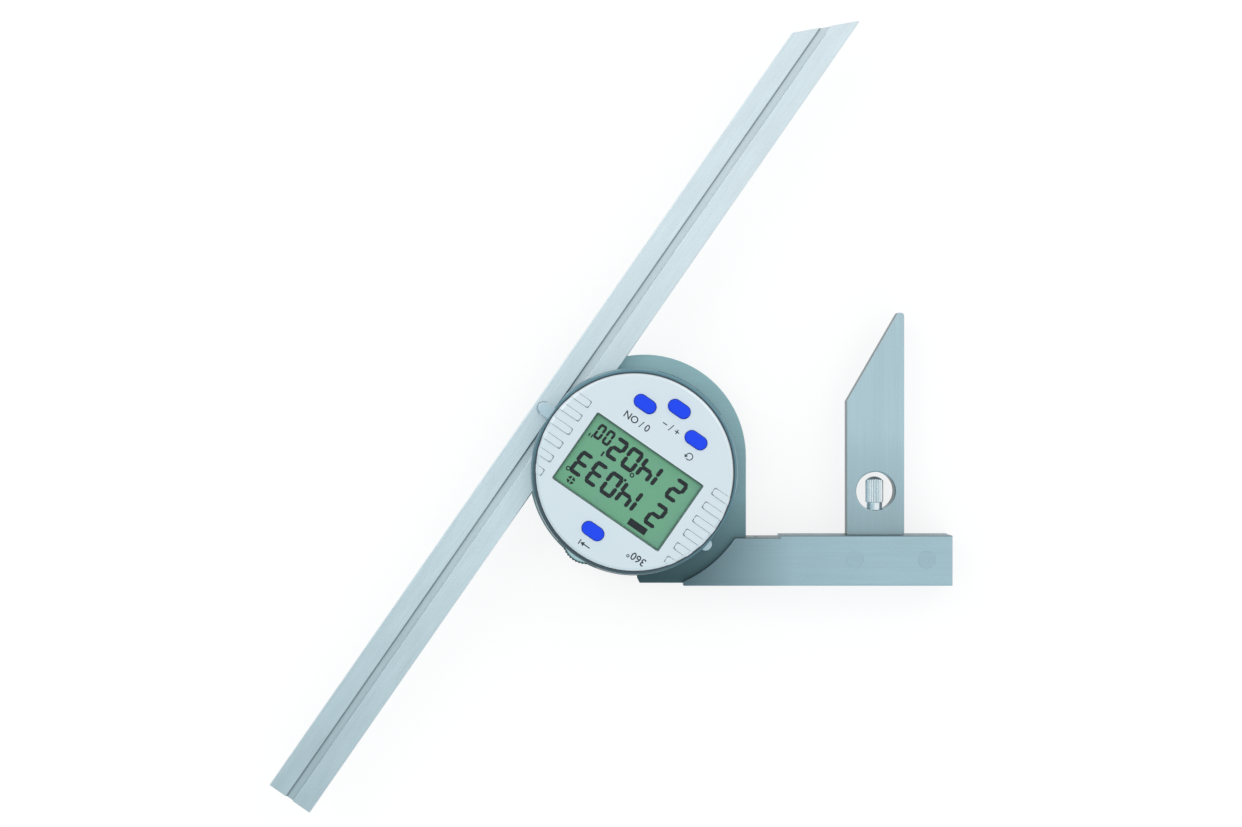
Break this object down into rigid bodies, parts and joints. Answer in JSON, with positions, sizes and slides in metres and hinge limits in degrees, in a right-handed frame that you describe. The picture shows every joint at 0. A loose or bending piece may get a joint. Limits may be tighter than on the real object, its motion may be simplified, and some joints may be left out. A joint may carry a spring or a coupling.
{
  "type": "digital protractor",
  "caption": "Universal protractor with a sliding blade, a round digital reading head on a steel stock, and an acute-angle attachment.",
  "frame": {"origin": "on the reading head's turning axis, in the plane of the clamp knob's back face, on which the instrument rests", "axes": "+X along the stock, away from the head; +Y across the stock, away from its working edge; +Z out of the display"},
  "size_m": [0.2133, 0.2466, 0.0308],
  "materials": {
    "frame_steel": "brushed",
    "stock_steel": "brushed",
    "blade_steel": "brushed",
    "turned_steel": "turned",
    "black_screw": "blackened",
    "bush_bronze": "turned",
    "housing_plastic": "satin",
    "cover_plastic": "silver satin",
    "button_rubber": "satin",
    "lens_clear": "clear",
    "display_glass": "gloss",
    "board_green": "satin",
    "strip_rubber": "matte",
    "flex_film": "satin"
  },
  "bodies": {
    "base": {"base_frame": "frame_steel", "stock": "stock_steel", "stock_pins": "stock_steel", "stock_grub_screw": "black_screw", "bearing_bush": "bush_bronze", "encoder_stator": "board_green", "feed_gear": "bush_bronze"},
    "head": {"turntable": "turned_steel", "thrust_washer": "turned_steel", "retaining_nut": "turned_steel", "encoder_rotor": "board_green", "housing": "housing_plastic", "top_cover": "cover_plastic", "lcd_lens": "lens_clear", "lcd_panel": "display_glass", "display_strips": "strip_rubber", "circuit_board": "board_green", "switches": "bush_bronze", "flex_cable": "flex_film", "battery_contact": "bush_bronze", "cover_screws": "turned_steel"},
    "drawer": {"battery_drawer": "housing_plastic", "battery": "turned_steel"},
    "preset_key": {"button_preset": "button_rubber"},
    "zero_key": {"button_zero": "button_rubber"},
    "sign_key": {"button_sign": "button_rubber"},
    "mode_key": {"button_mode": "button_rubber"},
    "rule": {"blade": "blade_steel"},
    "hook": {"blade_hook": "turned_steel"},
    "clamp": {"clamp_knob": "turned_steel"},
    "feed": {"fine_wheel": "turned_steel"},
    "pad": {"lock_pad": "turned_steel"},
    "lock": {"lock_knob": "turned_steel"},
    "attachment": {"acute_attachment": "stock_steel"},
    "thumb_screw": {"attachment_screw": "turned_steel"},
    "nut": {"slide_nut": "turned_steel"}
  },
  "joints": [
    {"name": "head_turn", "type": "hinge", "parent": "base", "child": "head", "pos_m": [0, 0, 0.0118], "axis": [0, 0, 1], "continuous": true},
    {"name": "blade_slide", "type": "slide", "parent": "head", "child": "rule", "axis": [0.5707, 0.8211, 0], "range_m": [-0.11, 0.11]},
    {"name": "clamp_turn", "type": "hinge", "parent": "head", "child": "clamp", "pos_m": [0, 0, 0.003], "axis": [0, 0, 1], "range_deg": [0, 90]},
    {"name": "hook_pull", "type": "slide", "parent": "head", "child": "hook", "axis": [0.8211, -0.5707, 0], "range_m": [0, 0.00025]},
    {"name": "feed_turn", "type": "hinge", "parent": "head", "child": "feed", "pos_m": [-0.01484, -0.02135, 0.017], "axis": [0, 0, 1], "continuous": true},
    {"name": "lock_turn", "type": "hinge", "parent": "base", "child": "lock", "pos_m": [0.02269, -0.02341, 0.003], "axis": [0, 0, 1], "range_deg": [0, 120]},
    {"name": "pad_press", "type": "slide", "parent": "base", "child": "pad", "axis": [0, 0, -1], "range_m": [0, 0.00023333]},
    {"name": "attachment_slide", "type": "slide", "parent": "base", "child": "attachment", "axis": [1, 0, 0], "range_m": [-0.0205, 0.0145]},
    {"name": "thumb_turn", "type": "hinge", "parent": "attachment", "child": "thumb_screw", "pos_m": [0.07605, -0.008, 0.00675], "axis": [0, 1, 0], "range_deg": [0, 144]},
    {"name": "nut_lift", "type": "slide", "parent": "attachment", "child": "nut", "axis": [0, 1, 0], "range_m": [0, 0.0002]},
    {"name": "drawer_slide", "type": "slide", "parent": "head", "child": "drawer", "axis": [0.5707, 0.8211, 0], "range_m": [0, 0.022]},
    {"name": "preset_press", "type": "slide", "parent": "head", "child": "preset_key", "axis": [0, 0, -1], "range_m": [0, 0.0003], "stiffness_N_per_m": 800},
    {"name": "zero_press", "type": "slide", "parent": "head", "child": "zero_key", "axis": [0, 0, -1], "range_m": [0, 0.0003], "stiffness_N_per_m": 800},
    {"name": "sign_press", "type": "slide", "parent": "head", "child": "sign_key", "axis": [0, 0, -1], "range_m": [0, 0.0003], "stiffness_N_per_m": 800},
    {"name": "mode_press", "type": "slide", "parent": "head", "child": "mode_key", "axis": [0, 0, -1], "range_m": [0, 0.0003], "stiffness_N_per_m": 800}
  ],
  "couplings": [
    {"joint": "feed_turn", "follows": "head_turn", "ratio": 6.4286},
    {"joint": "hook_pull", "follows": "clamp_turn", "m_per_rad": 0.00015915},
    {"joint": "lock_turn", "follows": "pad_press", "rad_per_m": 8975.9},
    {"joint": "thumb_turn", "follows": "nut_lift", "rad_per_m": 12566}
  ]
}
